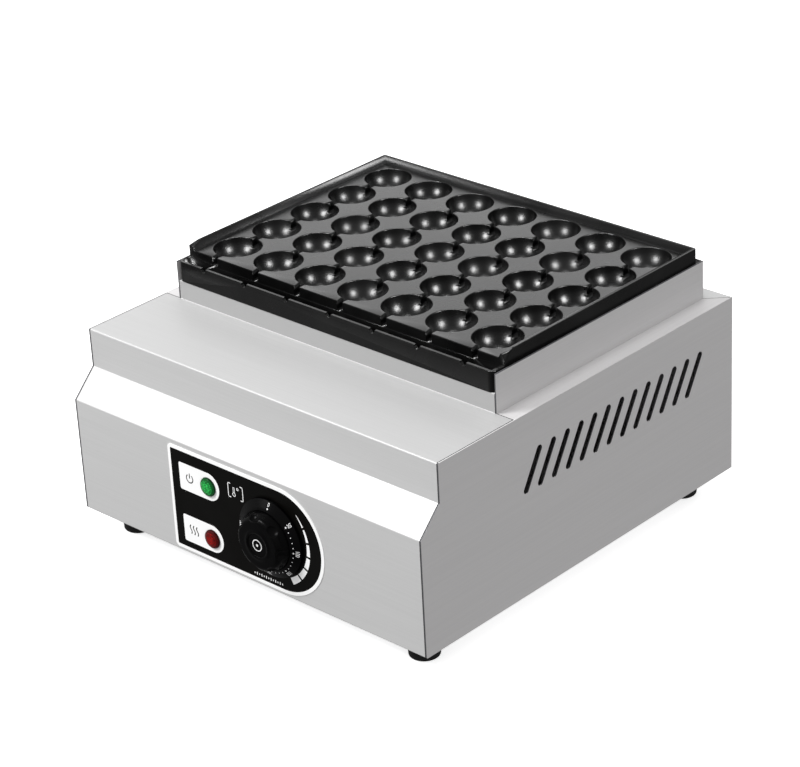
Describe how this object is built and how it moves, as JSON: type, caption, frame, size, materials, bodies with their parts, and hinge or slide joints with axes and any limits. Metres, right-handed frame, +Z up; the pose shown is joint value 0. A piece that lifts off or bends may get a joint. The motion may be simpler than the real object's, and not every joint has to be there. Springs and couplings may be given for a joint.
{
  "type": "takoyaki maker",
  "caption": "Electric countertop takoyaki maker: black non-stick pan of round bowls with a front trough, in a stainless steel housing with a thermostat dial, indicator lamps and side vents.",
  "frame": {"origin": "centre of the whole object's box, on the surface that the feet stand on", "axes": "+X to the right seen from the front, +Y from the control panel to the back, +Z up"},
  "size_m": [0.376, 0.41, 0.2205],
  "materials": {
    "stainless": "satin stainless steel sheet",
    "plated_steel": "zinc-plated steel sheet",
    "screws": "zinc-plated screws and nuts",
    "coated_pan": "cast aluminium with a dark grey non-stick coat",
    "rubber": "matt black rubber",
    "heater_sheath": "heat-darkened steel tube",
    "ceramic": "unglazed ceramic",
    "brass": "plain brass and copper",
    "fibre": "mineral-fibre felt",
    "label_print": "printed plate, black field with a white border",
    "black_plastic": "moulded black plastic",
    "lens_green": "green lens",
    "lens_red": "red lens",
    "wire_brown": "brown silicone insulation",
    "wire_blue": "blue silicone insulation"
  },
  "bodies": {
    "housing": {"base_plate": "plated_steel", "base_screws": "screws", "block_screws": "screws", "bulb_clip": "plated_steel", "capillary": "brass", "clamp_bolts": "screws", "clip_screw": "screws", "control_label": "label_print", "earth_nut": "brass", "earth_stud": "brass", "fibre_pad": "fibre", "foot_front_left": "rubber", "foot_front_right": "rubber", "foot_nuts": "screws", "foot_rear_left": "rubber", "foot_rear_right": "rubber", "foot_screws": "screws", "front_panel": "stainless", "gland_body": "black_plastic", "gland_locknut": "black_plastic", "gland_nut": "black_plastic", "heat_tray": "plated_steel", "heater_clamp_left": "plated_steel", "heater_clamp_right": "plated_steel", "heater_front": "heater_sheath", "heater_insulators": "ceramic", "heater_rear": "heater_sheath", "heater_studs": "heater_sheath", "lamp_body_green": "black_plastic", "lamp_body_red": "black_plastic", "lamp_lens_green": "lens_green", "lamp_lens_red": "lens_red", "lamp_nut_green": "black_plastic", "lamp_nut_red": "black_plastic", "pan_rail_left": "plated_steel", "pan_rail_rear": "plated_steel", "pan_rail_right": "plated_steel", "pan_screws": "screws", "rear_panel": "stainless", "rear_screws": "screws", "sensor_bulb": "heater_sheath", "side_panel_left": "stainless", "side_panel_right": "stainless", "takoyaki_pan": "coated_pan", "terminal_block": "ceramic", "terminal_screws": "brass", "thermostat_body": "black_plastic", "thermostat_bracket": "plated_steel", "thermostat_screws": "screws", "wire_link": "wire_brown", "wire_live": "wire_brown", "wire_neutral": "wire_blue", "wire_switched": "wire_brown"},
    "dial": {"knob": "black_plastic", "knob_cap": "black_plastic", "knob_spring": "plated_steel", "thermostat_shaft": "heater_sheath"}
  },
  "joints": [
    {"name": "thermostat_turn", "type": "hinge", "parent": "housing", "child": "dial", "pos_m": [0.032, -0.1875, 0.0703], "axis": [0, -1, 0], "range_deg": [0, 270]}
  ]
}
